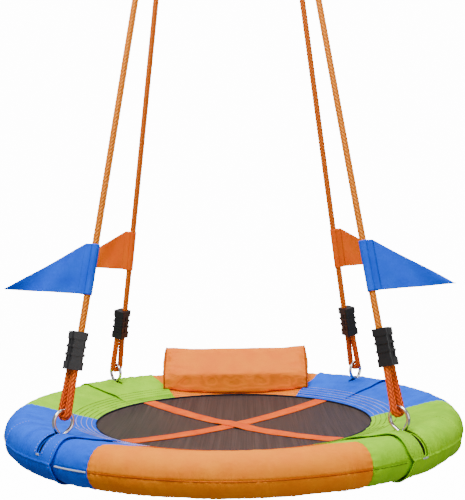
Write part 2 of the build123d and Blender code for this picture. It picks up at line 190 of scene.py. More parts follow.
def tube_mesh(path, radius, sides, closed=False):
    """Points and faces of a round tube along a path of points."""
    path = np.asarray(path, float)
    ahead = np.roll(path, -1, 0) - np.roll(path, 1, 0)
    if not closed:
        ahead[0] = path[1] - path[0]
        ahead[-1] = path[-1] - path[-2]
    ahead /= np.linalg.norm(ahead, axis=1)[:, None]
    first = np.cross(ahead[0], (0.31, 0.17, 0.93))
    across = [first / np.linalg.norm(first)]
    for direction in ahead[1:]:
        side = across[-1] - direction * (across[-1] @ direction)
        across.append(side / np.linalg.norm(side))
    across = np.array(across)
    other = np.cross(ahead, across)
    turn = np.linspace(0, 2 * pi, sides, endpoint=False)
    radius = np.broadcast_to(np.asarray(radius, float), (len(path),))
    ring = np.cos(turn)[None, :, None] * across[:, None] + np.sin(turn)[None, :, None] * other[:, None]
    verts = (path[:, None] + ring * radius[:, None, None]).reshape(-1, 3)
    return verts, tube_faces(len(path), sides, closed)


def joined(parts):
    """Several (points, faces) lists as one."""
    verts, faces, start = [], [], 0
    for part_verts, part_faces in parts:
        verts.append(np.asarray(part_verts))
        faces += [tuple(start + i for i in face) for face in part_faces]
        start += len(part_verts)
    return np.concatenate(verts), faces


def stitches(rows, normals, length, radius):
    """Short raised stitches: rows are (start, end) pairs that lie on a surface."""
    rings, sides = 5, 6
    along = np.linspace(-1, 1, rings)
    swell = np.sqrt(np.maximum(1 - along**2 * 0.93, 0.05))
    turn = np.linspace(0, 2 * pi, sides, endpoint=False)
    parts = []
    for (start, end), normal in zip(rows, normals):
        start, end = np.asarray(start), np.asarray(end)
        ahead = end - start
        ahead = ahead / np.linalg.norm(ahead)
        side = np.cross(normal, ahead)
        middle = (start + end) / 2
        verts = []
        for a, s in zip(along, swell):
            centre = middle + ahead * (a * length / 2) + normal * radius * (0.7 - 0.8 * a * a)
            for t in turn:
                verts.append(centre + radius * s * (side * cos(t) + normal * sin(t) * 0.8))
        parts.append((verts, tube_faces(rings, sides)))
    return joined(parts)


def sewn(name, rows, normals, length, radius, body, thread):
    """Stitches as a piece of its own."""
    verts, faces = stitches(rows, normals, length, radius)
    mesh_piece(name, verts, faces, body, materials[thread])


# ---- materials ----
def srgb(red, green, blue):
    """A linear colour from screen values of 0 to 255."""
    linear = []
    for value in (red, green, blue):
        value /= 255
        linear.append(value / 12.92 if value <= 0.04045 else ((value + 0.055) / 1.055) ** 2.4)
    return (*linear, 1.0)


def new_material(name, roughness, metallic=0.0, **sockets):
    """A material with its shader, and its node tree's helpers."""
    material = bpy.data.materials.new(name)
    material.use_nodes = True
    tree = material.node_tree
    shader = tree.nodes["Principled BSDF"]
    shader.inputs["Roughness"].default_value = roughness
    shader.inputs["Metallic"].default_value = metallic
    for key, value in sockets.items():
        shader.inputs[key.replace("_", " ")].default_value = value
    return material, tree, shader


def node(tree, kind, inputs=(), **settings):
    """A shader node with its settings, and values or links into its inputs."""
    made = tree.nodes.new(kind)
    for key, value in settings.items():
        setattr(made, key, value)
    for key, value in dict(inputs).items():
        if isinstance(value, bpy.types.NodeSocket):
            tree.links.new(value, made.inputs[key])
        else:
            made.inputs[key].default_value = value
    return made


def weave_height(tree, vector, pitch, ratio=1.0):
    """Height of a plain weave: two sets of threads at right angles."""
    waves = []
    for axis, step in (("X", pitch), ("Y", pitch * ratio)):
        wave = node(
            tree,
            "ShaderNodeTexWave",
            {"Vector": vector, "Scale": 0.314 / step, "Distortion": 0.35, "Detail": 1.0},
            wave_type="BANDS",
            bands_direction=axis,
        )
        waves.append(wave.outputs["Fac"])
    return node(tree, "ShaderNodeMath", {0: waves[0], 1: waves[1]}, operation="MAXIMUM").outputs[0]


def ramped(tree, factor, low, high, colours):
    """A colour between two, as a factor goes from low to high."""
    ramp = node(tree, "ShaderNodeValToRGB", {"Fac": factor})
    for stop, position, colour in zip(ramp.color_ramp.elements, (low, high), colours):
        stop.position = position
        stop.color = colour
    return ramp.outputs["Color"]


def mottled(tree, vector, colours, scale):
    """A colour that wanders between two."""
    return ramped(tree, speckle(tree, vector, scale, 4.0), 0.35, 0.65, colours)


def speckle(tree, vector, scale, detail):
    """A noise texture's factor."""
    cloud = node(tree, "ShaderNodeTexNoise", {"Vector": vector, "Scale": scale, "Detail": detail})
    return cloud.outputs["Fac"]


def mixed(tree, factor, first, second, **settings):
    """Two colours mixed, or multiplied."""
    inputs = {"Factor": factor, 6: first, 7: second}
    return node(tree, "ShaderNodeMix", inputs, data_type="RGBA", **settings).outputs[2]


def woven(tree, shader, colour, height, low, high):
    """A base colour that is darker between the threads as painted shade: low and high tint it there and on
    them.
    """
    shade = mixed(tree, height, (*low, 1), (*high, 1))
    tinted = mixed(tree, 1.0, colour, shade, blend_type="MULTIPLY")
    tree.links.new(tinted, shader.inputs["Base Color"])


def bumped(tree, shader, height, strength, distance, **under):
    """Relief from a height, over another normal if there is one."""
    inputs = {"Height": height, "Strength": strength, "Distance": distance, **under}
    normal = node(tree, "ShaderNodeBump", inputs).outputs["Normal"]
    tree.links.new(normal, shader.inputs["Normal"])
    return normal


def cloth_material(name, dark, light, pitch=0.0011, use_uv=True, rough=0.7, sheen=0.0, relief=0.5):
    """Woven polyester: threads at their real scale, faint mottling and a soft sheen."""
    material, tree, shader = new_material(name, rough, Sheen_Weight=sheen, Sheen_Roughness=0.5)
    shader.inputs["Specular IOR Level"].default_value = 0.12
    place = node(tree, "ShaderNodeTexCoord")
    lie = place.outputs["UV" if use_uv else "Object"]
    colour = mottled(tree, place.outputs["Object"], (srgb(*dark), srgb(*light)), 26.0)
    height = weave_height(tree, lie, pitch)
    # painted shade: darker between the threads
    woven(tree, shader, colour, height, (0.72,) * 3, (1.06,) * 3)
    crumple = bumped(tree, shader, speckle(tree, place.outputs["Object"], 150.0, 3.0), 0.25, 0.002)
    bumped(tree, shader, height, relief, 0.0003, Normal=crumple)
    return material


def rope_material():
    """Braided polypropylene: fine yarns that run along each plait's slant."""
    material, tree, shader = new_material("rope_orange", 0.6)
    shader.inputs["Specular IOR Level"].default_value = 0.2
    shader.inputs["Subsurface Weight"].default_value = 0.06
    shader.inputs["Subsurface Radius"].default_value = (0.004, 0.002, 0.001)
    place = node(tree, "ShaderNodeTexCoord")
    groove = node(tree, "ShaderNodeAttribute", attribute_name="height")
    # painted shade: the grooves between plaits darker than their crowns
    plain = ramped(tree, groove.outputs["Fac"], 0.1, 0.8, (srgb(150, 40, 0), srgb(255, 150, 10)))
    # painted shade: a darker, redder copy of the colours, for the hanger loops and the back ropes
    shaded = ramped(tree, groove.outputs["Fac"], 0.1, 0.8, (srgb(120, 22, 0), srgb(252, 96, 2)))
    shade_amount = node(tree, "ShaderNodeAttribute", attribute_name="shade_amount")
    tree.links.new(mixed(tree, shade_amount.outputs["Fac"], plain, shaded), shader.inputs["Base Color"])
    bumped(tree, shader, speckle(tree, place.outputs["Object"], 1400.0, 2.0), 0.35, 0.0004)
    return material


def steel_material(name, colour, roughness):
    """Zinc-plated steel: bright, with faint clouding and fine scratches."""
    material, tree, shader = new_material(name, roughness, metallic=1.0)
    place = node(tree, "ShaderNodeTexCoord")
    dull = tuple(c * 0.72 for c in srgb(*colour)[:3]) + (1.0,)
    tint = mottled(tree, place.outputs["Object"], (dull, srgb(*colour)), 320.0)
    tree.links.new(tint, shader.inputs["Base Color"])
    scratch = speckle(tree, place.outputs["Object"], 900.0, 4.0)
    rough = node(
        tree,
        "ShaderNodeMapRange",
        {"Value": scratch, "To Min": roughness * 0.7, "To Max": roughness * 1.5},
    )
    tree.links.new(rough.outputs["Result"], shader.inputs["Roughness"])
    bumped(tree, shader, scratch, 0.08, 0.0003)
    return material


def plastic_material(name, colour, roughness=0.42):
    """Moulded plastic with a fine spark-eroded grain."""
    material, tree, shader = new_material(name, roughness)
    place = node(tree, "ShaderNodeTexCoord")
    light = tuple(min(1.0, c * 1.5) for c in srgb(*colour)[:3]) + (1.0,)
    tint = mottled(tree, place.outputs["Object"], (srgb(*colour), light), 210.0)
    tree.links.new(tint, shader.inputs["Base Color"])
    bumped(tree, shader, speckle(tree, place.outputs["Object"], 1600.0, 3.0), 0.3, 0.0004)
    return material


def foam_material():
    """Open-cell foam, with painted shade in its pores."""
    material, tree, shader = new_material("foam", 0.9)
    place = node(tree, "ShaderNodeTexCoord")
    cells = node(tree, "ShaderNodeTexVoronoi", {"Vector": place.outputs["Object"], "Scale": 700.0})
    pores = ramped(tree, cells.outputs["Distance"], 0, 1, (srgb(120, 120, 116), srgb(205, 204, 198)))
    tree.links.new(pores, shader.inputs["Base Color"])
    bumped(tree, shader, cells.outputs["Distance"], 0.6, 0.001)
    return material


def webbing_material():
    """Ribbed webbing: fine ribs across and a thread structure along the strap."""
    material, tree, shader = new_material("webbing_orange", 0.6)
    shader.inputs["Specular IOR Level"].default_value = 0.15
    place = node(tree, "ShaderNodeTexCoord")
    colour = mottled(tree, place.outputs["Object"], (srgb(236, 84, 4), srgb(250, 104, 10)), 40.0)
    height = weave_height(tree, place.outputs["UV"], 0.0016, 1.6)
    # painted shade: darker and warmer between the ribs
    woven(tree, shader, colour, height, (0.66, 0.6, 0.55), (1.05,) * 3)
    bumped(tree, shader, height, 0.6, 0.0005)
    return material


def mesh_material():
    """Dark woven seat mesh: thin strips, painted shade for the small openings between them, and faint
    lengthwise streaks.
    """
    material, tree, shader = new_material("mesh", 0.5)
    shader.inputs["Specular IOR Level"].default_value = 0.25
    place = node(tree, "ShaderNodeTexCoord")
    height = weave_height(tree, place.outputs["UV"], 0.0019, 1.25)
    stretch = node(
        tree, "ShaderNodeMapping", {"Vector": place.outputs["UV"], "Scale": (420.0, 3.0, 1.0)}
    )
    streaks = speckle(tree, stretch.outputs["Vector"], 1.0, 2.0)
    colour = ramped(tree, streaks, 0.36, 0.66, (srgb(48, 36, 34), srgb(80, 64, 60)))
    # painted shade: the openings between the strips nearly black
    woven(tree, shader, colour, height, (0.25, 0.24, 0.25), (1.1,) * 3)
    bumped(tree, shader, height, 0.8, 0.0006)
    return material


FLAG_CLOTH = {"pitch": 0.0005, "rough": 0.5, "relief": 0.2}
PIPING = {"pitch": 0.0008}
THREAD = {"pitch": 0.0006}
CLOTHS = {
    "fabric_orange": ((250, 132, 0), (255, 144, 0), {}),
    "fabric_green": ((140, 206, 4), (158, 222, 10), {}),
    "fabric_blue": ((8, 84, 226), (16, 98, 244), {}),
    "pillow_orange": ((250, 120, 0), (255, 132, 0), {"use_uv": False, "rough": 0.55}),
    "flag_blue": ((12, 78, 226), (20, 90, 238), FLAG_CLOTH),
    "flag_orange": ((252, 98, 0), (255, 110, 2), FLAG_CLOTH),
    "hook_loop": ((34, 34, 36), (50, 50, 54), {"pitch": 0.0014, "rough": 0.9, "relief": 1.0}),
    # painted shade: near-black cloth for the sheet that stands for the shade in each slit
    "shade_sheet": ((8, 8, 10), (14, 14, 16), {"rough": 0.9}),
    "binding": ((24, 26, 44), (34, 36, 58), {"pitch": 0.0009}),
    "piping_blue": ((206, 216, 238), (232, 238, 250), PIPING),
    "piping_green": ((78, 120, 10), (112, 156, 16), PIPING),
    "piping_orange": ((176, 70, 0), (206, 92, 0), PIPING),
    "thread_pale": ((216, 190, 226), (240, 220, 244), THREAD),
    "thread_green": ((96, 120, 30), (138, 168, 40), THREAD),
    "thread_white": ((222, 224, 228), (244, 244, 246), THREAD),
    "thread_orange": ((206, 92, 10), (226, 112, 18), THREAD),
    "thread_blue": ((24, 62, 150), (34, 78, 172), THREAD),
}
materials = {name: cloth_material(name, *tones, **more) for name, (*tones, more) in CLOTHS.items()}
materials |= {
    "webbing_orange": webbing_material(),
    "rope_orange": rope_material(),
    "mesh": mesh_material(),
    "foam": foam_material(),
    "black_plastic": plastic_material("black_plastic", (20, 19, 21)),
    "steel_tube": steel_material("steel_tube", (170, 172, 175), 0.38),
    "zinc_steel": steel_material("zinc_steel", (222, 222, 224), 0.2),
}
THREADS = {
    "fabric_orange": "thread_orange",
    "fabric_green": "thread_green",
    "fabric_blue": "thread_pale",
}


# ---- ropes ----
def rope_frame(name):
    """A rope's two ends, its direction, and the side directions of its lower and upper eyes."""
    side = 1 if "right" in name else -1
    fore = -1 if "front" in name else 1
    angle = radians(HANGERS[name])
    low = seat_centre + Vector((cos(angle), sin(angle), 0)) * RING_R
    top = Vector((side * 0.077, fore * 0.010198, -0.132085))
    along = (top - low).normalized()
    tangent = Vector((-side, fore, 0)).normalized()
    low_side = (tangent - along * tangent.dot(along)).normalized()
    across = Vector((side, 0, 0))
    top_side = (across - along * across.dot(along)).normalized()
    return low, top, along, low_side, top_side


# height above the hanger's ring and offset to the side, then depth below the top ring and offset
ROUTE_LOW = (
    (0.224, -0.008),
    (0.158, -0.008),
    (0.0994, -0.0111),
    (0.0746, -0.0124),
    (0.0746, 0.0124),
    (0.0994, 0.0111),
    (0.158, 0.008),
    (0.292, 0.008),
)
ROUTE_TOP = (
    (0.146, 0.008),
    (0.060, 0.008),
    (0.0124, 0.0109),
    (-0.0124, 0.0124),
    (-0.0124, -0.0124),
    (0.0124, -0.0109),
    (0.060, -0.008),
    (0.132, -0.008),
)


def rope_route(name):
    """The rope's points: tail in the adjuster, round the hanger's eye, up, round the top ring."""
    low, top, along, low_side, top_side = rope_frame(name)
    points = [low + along * height + low_side * offset for height, offset in ROUTE_LOW]
    return points + [top - along * depth + top_side * offset for depth, offset in ROUTE_TOP]


def smooth_line(name, points):
    """Points along the NURBS line that has these control points."""
    curve = bpy.data.curves.new(name, "CURVE")
    curve.dimensions = "3D"
    curve.resolution_u = 40
    spline = curve.splines.new("NURBS")
    spline.points.add(len(points) - 1)
    for control, point in zip(spline.points, points):
        control.co = (*point, 1)
    spline.order_u = 3
    spline.use_endpoint_u = True
    holder = bpy.data.objects.new(name, curve)
    line = bpy.data.meshes.new_from_object(holder)
    found = np.array([v.co for v in line.vertices])
    bpy.data.objects.remove(holder)
    bpy.data.curves.remove(curve)
    bpy.data.meshes.remove(line)
    return found


def evenly(path, step):
    """The same line with its points at even steps."""
    lengths = np.r_[0, np.cumsum(np.linalg.norm(np.diff(path, axis=0), axis=1))]
    count = ceil(lengths[-1] / step)
    stations = np.linspace(0, lengths[-1], count + 1)
    return np.stack([np.interp(stations, lengths, path[:, k]) for k in range(3)], 1), stations


PLAITS = 6  # columns of slanted plaits round the rope
PLAIT_PITCH = 0.0085
PLAIT_SIDES = 8  # points across one plait
PLAIT_RELIEF = 0.0019


def braided_rope(name, path):
    """A braided tube: columns of plaits that slant to the left and the right in turn."""
    line, stations = evenly(path, 0.0014)
    sides = PLAITS * PLAIT_SIDES
    verts, faces = tube_mesh(line, 1.0, sides)
    spokes = verts.reshape(len(line), sides, 3) - line[:, None]
    column = np.arange(sides) // PLAIT_SIDES
    across = (np.arange(sides) % PLAIT_SIDES + 0.5) / PLAIT_SIDES - 0.5
    slant = np.where(column % 2 == 0, 1.0, -1.0) * across * 0.95
    phase = (stations[:, None] / PLAIT_PITCH + slant[None] + 0.5 * (column % 2)[None]) % 1
    lump = np.cos((phase - 0.5) * pi) ** 0.8 * np.cos(across * pi * 0.86)[None] ** 0.6
    radius = ROPE_R - PLAIT_RELIEF * (1 - lump)
    verts = (line[:, None] + spokes * radius[..., None]).reshape(-1, 3)
    piece = mesh_piece(f"rope_braid_{name}", verts, faces, "swing", materials["rope_orange"])
    height = piece.data.attributes.new("height", "FLOAT", "POINT")
    height.data.foreach_set("value", lump.astype(np.float32).ravel())
    # painted shade: darker and redder in the loop at the hanger, and all along the back ropes
    above = (line[:, 2] - SEAT_Z)[:, None] + 0 * lump
    painted_shade = np.clip(1.25 - (above - 0.10) / 0.10, 0.0 if "front" in name else 0.55, 1.0)
    shade_amount = piece.data.attributes.new("shade_amount", "FLOAT", "POINT")
    shade_amount.data.foreach_set("value", painted_shade.astype(np.float32).ravel())
    return piece


for name in HANGERS:
    route = rope_route(name)
    path = smooth_line(f"line_{name}", route)
    rope = braided_rope(name, path)
    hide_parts(f"rope_{name}")


# ---- the padded ring's surface ----
BORDER_JOINT = atan2(BORDER_TOP_Z, BORDER_TOP_R - RING_R)  # where the border leaves the tube
BORDER_UNDER = radians(121.2)  # where the border's underside meets the tube
border_slope = atan2(BORDER_TOP_Z - BORDER_Z, BORDER_TOP_R - MESH_R)


def border_height(radius):
    """The border's upper face above the seat, at a distance from its centre."""
    return BORDER_Z + (radius - MESH_R) * (BORDER_TOP_Z - BORDER_Z) / (BORDER_TOP_R - MESH_R)



def spaced(low, high, step, fine_at=(), fine_step=0.0008, reach=0.006):
    """Stations from low to high, closer together near the fine places."""
    sign = 1 if high > low else -1
    found, at = [low], low
    while sign * (high - at) > 1e-9:
        near = min((abs(at + sign * 0.0004 - f) for f in fine_at), default=9.0)
        at += sign * (fine_step if near < reach else step)
        found.append(high if sign * (high - at) < 0.3 * fine_step else at)
        at = found[-1]
    return found


def measured(places, normals):
    """A section's points and outward directions as arrays, with the length along it."""
    places = np.array(places)
    lengths = np.r_[0, np.cumsum(np.hypot(*np.diff(places, axis=0).T))]
    return places, np.array(normals), lengths


def cover_contour(step=0.0026):
    """The cover's section: places, outward directions, lengths along it and zone marks."""
    places, normals, marks = [], [], []
    up = (-sin(border_slope), cos(border_slope))
    for t in np.linspace(0, 1, 54)[:-1]:
        places.append((MESH_R + t * (BORDER_TOP_R - MESH_R), BORDER_Z + t * (BORDER_TOP_Z - BORDER_Z)))
        normals.append(up)
        marks.append(1)
    start, stop = BORDER_JOINT, BORDER_UNDER - 2 * pi
    for arc in spaced(start * PAD_R, stop * PAD_R, step, fine_at=(0.0,)):
        angle = arc / PAD_R
        places.append((RING_R + PAD_R * cos(angle), PAD_R * sin(angle)))
        normals.append((cos(angle), sin(angle)))
        marks.append(0)
    last = places[-1]
    for t in np.linspace(0, 1, 16)[1:]:
        places.append((last[0] + t * (MESH_R - last[0]), last[1] + t * (BORDER_Z - COVER_T - last[1])))
        normals.append((-up[0], -up[1]))
        marks.append(2)
    return *measured(places, normals), np.array(marks)


SLIT_PLACES = (0.0, 0.02, 0.15, 0.40, 0.60, 0.72, 0.93, 1.0)  # from the slit's outer end
SLIT_WIDTHS = (0.0, 0.0080, 0.0092, 0.0078, 0.0062, 0.0060, 0.0064, 0.0)  # half of its width
SLIT_REACH = 0.014  # how far the cloth beside it gives way
SLIT_ENDS = {"front_left": 18, "front_right": 1, "back_left": -4, "back_right": -4}


def slit_half_width(section_angle, name):
    """Half the slit's width at an angle round the ring's section, 0 outside it."""
    inner, outer = radians(143), radians(SLIT_ENDS[name])
    part = (section_angle - outer) / (inner - outer)
    return np.interp(part, SLIT_PLACES, SLIT_WIDTHS, left=0.0, right=0.0)


def in_cuff(angle_deg, ease=0.6):
    """1 under a cuff and 0 away from it, for an angle round the seat in degrees."""
    best = np.zeros_like(angle_deg)
    for name, hanger in HANGERS.items():
        first, last = CUFF_ENDS[name]
        middle = hanger + (first + last) / 2
        off = np.abs((angle_deg - middle + 180) % 360 - 180) - (last - first) / 2
        best = np.maximum(best, np.clip(0.5 - off / (2 * ease), 0, 1))
    return best


def cloth_folds(arc, around, seed, width, length):
    """Folds that run round the tube: narrow along the ring, long round the section."""
    points = np.stack([arc / width, around / length, np.full_like(arc, seed)], -1)
    value = noise_at(points.reshape(-1, 3), 3).reshape(arc.shape)
    return 1 - np.minimum(np.abs(value) * 3.0, 1.0)


def slow_swell(arc, around, seed):
    """Slow noise over a cloth's surface."""
    return noise_at(np.stack([arc, around, arc * 0 + seed], -1).reshape(-1, 3)).reshape(arc.shape)


def around_ring(places, thetas):
    """Points at angles round the seat from section places of the shape (..., 2)."""
    radius, height = places[..., 0], places[..., 1]
    return np.stack([radius * np.cos(thetas), radius * np.sin(thetas), SEAT_Z + height], -1)


def grid_faces(rows, columns, close_columns=False, skip=()):
    """Quads of a grid whose points are numbered row by row."""
    faces = []
    for i in range(rows - 1):
        if i in skip:
            continue
        for j in range(columns if close_columns else columns - 1):
            k = (j + 1) % columns
            faces.append((i * columns + j, i * columns + k, (i + 1) * columns + k, (i + 1) * columns + j))
    return faces


def split_at(thetas, hanger):
    """The same angles with the hanger's angle twice, for the slit's two sides."""
    kept = [t for t in thetas if abs(t - hanger) * RING_R > 0.0012]
    return sorted(kept + [hanger, hanger])


def twins(thetas):
    """Where an angle comes twice."""
    return [i for i in range(len(thetas) - 1) if thetas[i + 1] - thetas[i] < 1e-12]


def open_slit(thetas, section_angle, name, hanger, radius):
    """Move points aside from a slit at the hanger's angle. The hanger's angle comes twice."""
    off = (thetas - hanger) * RING_R
    width = slit_half_width(section_angle, name)
    side = np.sign(off)
    first = np.flatnonzero(np.abs(off[:, 0]) < 1e-9)
    side[first[0]] = -1
    side[first[-1]] = 1
    push = side * width * np.exp(-np.abs(off) / SLIT_REACH)
    return thetas + push / radius


def cover_panel(name):
    """One panel of the cover: tube skin and border in one closed section, with its slit."""
    places, normals, lengths, marks = cover_contour()
    start = PANELS[name]
    arcs = spaced(0, radians(PANEL_SPAN) * RING_R, 0.003)
    thetas = [radians(start) + a / RING_R for a in arcs]
    hanger = radians(HANGERS[name] % 360) if name in HANGERS else None
    if hanger is not None:
        thetas = split_at(thetas, hanger)
    thetas = np.array(thetas)
    arc = (thetas - radians(start))[:, None] * RING_R + 0 * lengths[None]
    around = lengths[None] + 0 * arc
    seed = start * 0.37
    folds = cloth_folds(arc, around, seed, 0.017, 0.11)
    slow = slow_swell(arc / 0.06, around / 0.05, seed + 7)
    covered = in_cuff(np.degrees(thetas))[:, None]
    to_seam = np.minimum(arc, radians(PANEL_SPAN) * RING_R - arc)
    section_angle = np.arctan2(places[:, 1], places[:, 0] - RING_R)[None] + 0 * arc
    equator = around * 0 + np.abs(places[:, 1])[None]
    outer = (places[:, 0] > RING_R)[None] & (marks == 0)[None]
    near_equator = np.where(outer, np.exp(-((equator / 0.011) ** 2)), 0)
    pucker = np.cos(arc / 0.0058 * pi) * near_equator
    lift = 0.0013 * folds * (0.35 + 0.65 * np.clip(slow + 0.5, 0, 1)) + 0.0012 * slow
    lift += 0.0005 * pucker - 0.0011 * np.where(outer, np.exp(-((equator / 0.0022) ** 2)), 0)
    lift -= 0.0016 * np.exp(-((to_seam / 0.0035) ** 2))
    lift += 0.0006 * np.cos(around / 0.0065 * pi) * np.exp(-((to_seam / 0.010) ** 2))
    lift = np.where((marks == 1)[None], lift * 0.7, lift)
    lift = np.where((marks == 2)[None], 0, lift)
    lift = lift * (1 - covered) - 0.0008 * covered
    section = places[None] + normals[None] * lift[..., None]
    spun = thetas[:, None] + 0 * arc
    if hanger is not None:
        on_slit = np.where((marks == 2)[None], -9.0, section_angle)
        on_slit = np.where((places[:, 1] < -0.02)[None], -9.0, on_slit)
        spun = open_slit(spun, on_slit, name, hanger, section[..., 0])
    verts = around_ring(section, spun).reshape(-1, 3)
    columns = len(places)
    faces = grid_faces(len(thetas), columns, close_columns=True, skip=twins(thetas))
    faces.append(tuple(range(columns)))
    faces.append(tuple(range((len(thetas) - 1) * columns, len(thetas) * columns))[::-1])
    uv = np.stack([arc, around], -1).reshape(-1, 2)
    material = materials[PANEL_FABRIC[name]]
    piece = mesh_piece(f"cover_cloth_{name}", verts, faces, "swing", material, uv)
    clean(piece)
    thicken_slit(piece)
    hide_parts(f"cover_{name}")
    return piece


def thicken_slit(piece, depth=0.003):
    """Turn the open edges in, so that the cloth has a lip at the slit."""
    work = bmesh.new()
    work.from_mesh(piece.data)
    edges = [e for e in work.edges if e.is_boundary]
    if edges:
        made = bmesh.ops.extrude_edge_only(work, edges=edges)["geom"]
        for vert in (v for v in made if isinstance(v, bmesh.types.BMVert)):
            flat = Vector((vert.co.x, vert.co.y, 0))
            centre = flat.normalized() * RING_R + seat_centre
            vert.co += (centre - vert.co).normalized() * depth
        bmesh.ops.recalc_face_normals(work, faces=work.faces)
    work.to_mesh(piece.data)
    work.free()


for name in PANELS:
    cover_panel(name)


# ---- cuffs ----
def cuff_contour():
    """The cuff's section: from under the ring round its outside, then down the border."""
    places, normals = [], []
    lift = CUFF_R - PAD_R
    for arc in spaced(radians(-150) * CUFF_R, radians(104) * CUFF_R, 0.0024, fine_at=(0.0,)):
        angle = arc / CUFF_R
        places.append((RING_R + CUFF_R * cos(angle), CUFF_R * sin(angle)))
        normals.append((cos(angle), sin(angle)))
    up = (-sin(border_slope), cos(border_slope))
    for radius in np.linspace(places[-1][0] - 0.003, CUFF_BORDER_R, 26):
        height = border_height(radius) + lift * 0.9
        places.append((radius, height))
        normals.append(up)
    return measured(places, normals)


def cuff(name):
    """A second skin over the ring at one hanger, with turned edges and a slit."""
    places, normals, lengths = cuff_contour()
    first, last = CUFF_ENDS[name]
    hanger = radians(HANGERS[name])
    span = radians(last - first) * RING_R
    arcs = spaced(0, span, 0.0026, fine_at=(0.0, span), fine_step=0.0009, reach=0.005)
    thetas = [hanger + radians(first) + a / RING_R for a in arcs]
    thetas = np.array(split_at(thetas, hanger))
    arc = (thetas - hanger - radians(first))[:, None] * RING_R + 0 * lengths[None]
    around = lengths[None] + 0 * arc
    to_edge = np.minimum(arc, span - arc)
    angle = np.arctan2(places[:, 1], places[:, 0] - RING_R)[None] + 0 * arc
    on_border = (places[:, 0] < places[:, 0].max() - 2 * CUFF_R + 0.02)[None] & (angle > 1.7)
    off_slit = np.abs(thetas - hanger)[:, None] * RING_R + 0 * arc
    seed = HANGERS[name] * 0.11 + 3
    folds = cloth_folds(arc, around, seed, 0.0135, 0.13)
    slow = slow_swell(arc / 0.05, around / 0.045, seed + 4)
    lift = 0.0021 * folds * np.exp(-(((off_slit - 0.045) / 0.07) ** 2)) + 0.0010 * slow
    lift = np.where(on_border, lift * 0.45, lift)
    # a hem: two layers thick, and a stitched furrow behind it
    hem = 0.008
    lift += 0.0011 * np.clip(1 - np.maximum(to_edge - hem, 0) / 0.0015, 0, 1)
    lift -= 0.0007 * np.exp(-(((to_edge - hem) / 0.0016) ** 2))
    # the free side stands off the ring a little, more at the widest part
    lift += 0.0013 * np.exp(-to_edge / 0.006) * (1 + 0.7 * np.sin(around / 0.031 + seed))
    outer = (places[:, 0] > RING_R)[None]
    level = np.abs(places[:, 1])[None]
    lift += 0.0015 * np.where(outer, np.exp(-((level / 0.0020) ** 2)), 0)
    lift += 0.0005 * np.cos(arc / 0.006 * pi) * np.where(outer, np.exp(-((level / 0.011) ** 2)), 0)
    # the lips of the slit roll up
    lip = slit_half_width(angle, name) > 0
    lift += 0.0018 * np.where(lip, np.exp(-off_slit / 0.005), 0)
    # the flap thins out to nothing where it is sewn down along the border
    inner = np.clip((places[:, 0] - CUFF_BORDER_R) / FLAP_TAPER, 0, 1)[None]
    lift = np.where(on_border, lift * inner - (CUFF_R - PAD_R) * 0.9 * (1 - inner), lift)
    section = places[None] + normals[None] * lift[..., None]
    spun = open_slit(thetas[:, None] + 0 * arc, angle, name, hanger, section[..., 0])
    # the side edges wander instead of running straight
    wander = 0.0022 * np.sin(around / 0.023 + seed) + 0.0012 * np.sin(around / 0.0085 + 2 * seed)
    middle = hanger + radians(first + last) / 2
    inward = np.sign(middle - spun) * 0.0075 * np.where(outer, np.exp(-level / 0.010), 0)
    spun += (wander + inward) * np.exp(-to_edge / 0.012) / RING_R
    verts = around_ring(section, spun).reshape(-1, 3)
    faces = grid_faces(len(thetas), len(places), skip=twins(thetas))
    uv = np.stack([arc, around], -1).reshape(-1, 2)
    fabric = PANEL_FABRIC[name]
    piece = mesh_piece(f"cuff_cloth_{name}", verts, faces, "swing", materials[fabric], uv)
    clean(piece)
    modify(piece, "SOLIDIFY", thickness=0.0016, offset=0)
    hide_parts(f"cuff_{name}")
    return piece


cuffs = {name: cuff(name) for name in HANGERS}

# ---- seat mesh ----
MESH_SAG = 0.015
bowl_r = MESH_R**2 / (2 * MESH_SAG)


def bowl_z(radius):
    """Height of the mesh's upper face above the ring's middle."""
    return 0.0004 - MESH_SAG + bowl_r - sqrt(bowl_r**2 - radius**2)


def seat_sheet():
    """The seat's mesh: a shallow bowl with its edge under the border."""
    rings, spokes = 56, 180
    verts, uv = [(0, 0, SEAT_Z + bowl_z(0) - 0.0006)], [(0, 0)]
    for i in range(1, rings + 1):
        radius = MESH_CUT_R * i / rings
        for j in range(spokes):
            angle = 2 * pi * j / spokes
            x, y = radius * cos(angle), radius * sin(angle)
            verts.append((x, y, SEAT_Z + bowl_z(radius) - 0.0006))
            uv.append((x, y))
    faces = [(0, 1 + j, 1 + (j + 1) % spokes) for j in range(spokes)]
    for i in range(rings - 1):
        here, there = 1 + i * spokes, 1 + (i + 1) * spokes
        for j in range(spokes):
            k = (j + 1) % spokes
            faces.append((here + j, there + j, there + k, here + k))
    piece = mesh_piece("seat_mesh_cloth", verts, faces, "swing", materials["mesh"], uv)
    modify(piece, "SOLIDIFY", thickness=0.0010, offset=0)
    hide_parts("seat_mesh")


seat_sheet()


def edge_binding():
    """The dark tape that binds the border's inner edge."""
    turn = np.linspace(0, 2 * pi, 720, endpoint=False)
    path = np.stack([MESH_R * np.cos(turn), MESH_R * np.sin(turn), 0 * turn + SEAT_Z + 0.0021], 1)
    verts, faces = tube_mesh(path, 0.0021, 8, closed=True)
    piece = mesh_piece("mesh_binding", verts, faces, "swing", materials["binding"])


edge_binding()


# ---- cross straps ----
def strap_height(along, crossing):
    """The underside of a strap, which steps up over the other one in the middle."""
    ramp = 0.5 + 0.5 * cos(pi * min(1.0, max(0.0, (abs(along) - 0.027) / 0.037)))
    return bowl_z(abs(along)) + 0.0004 + crossing * ramp


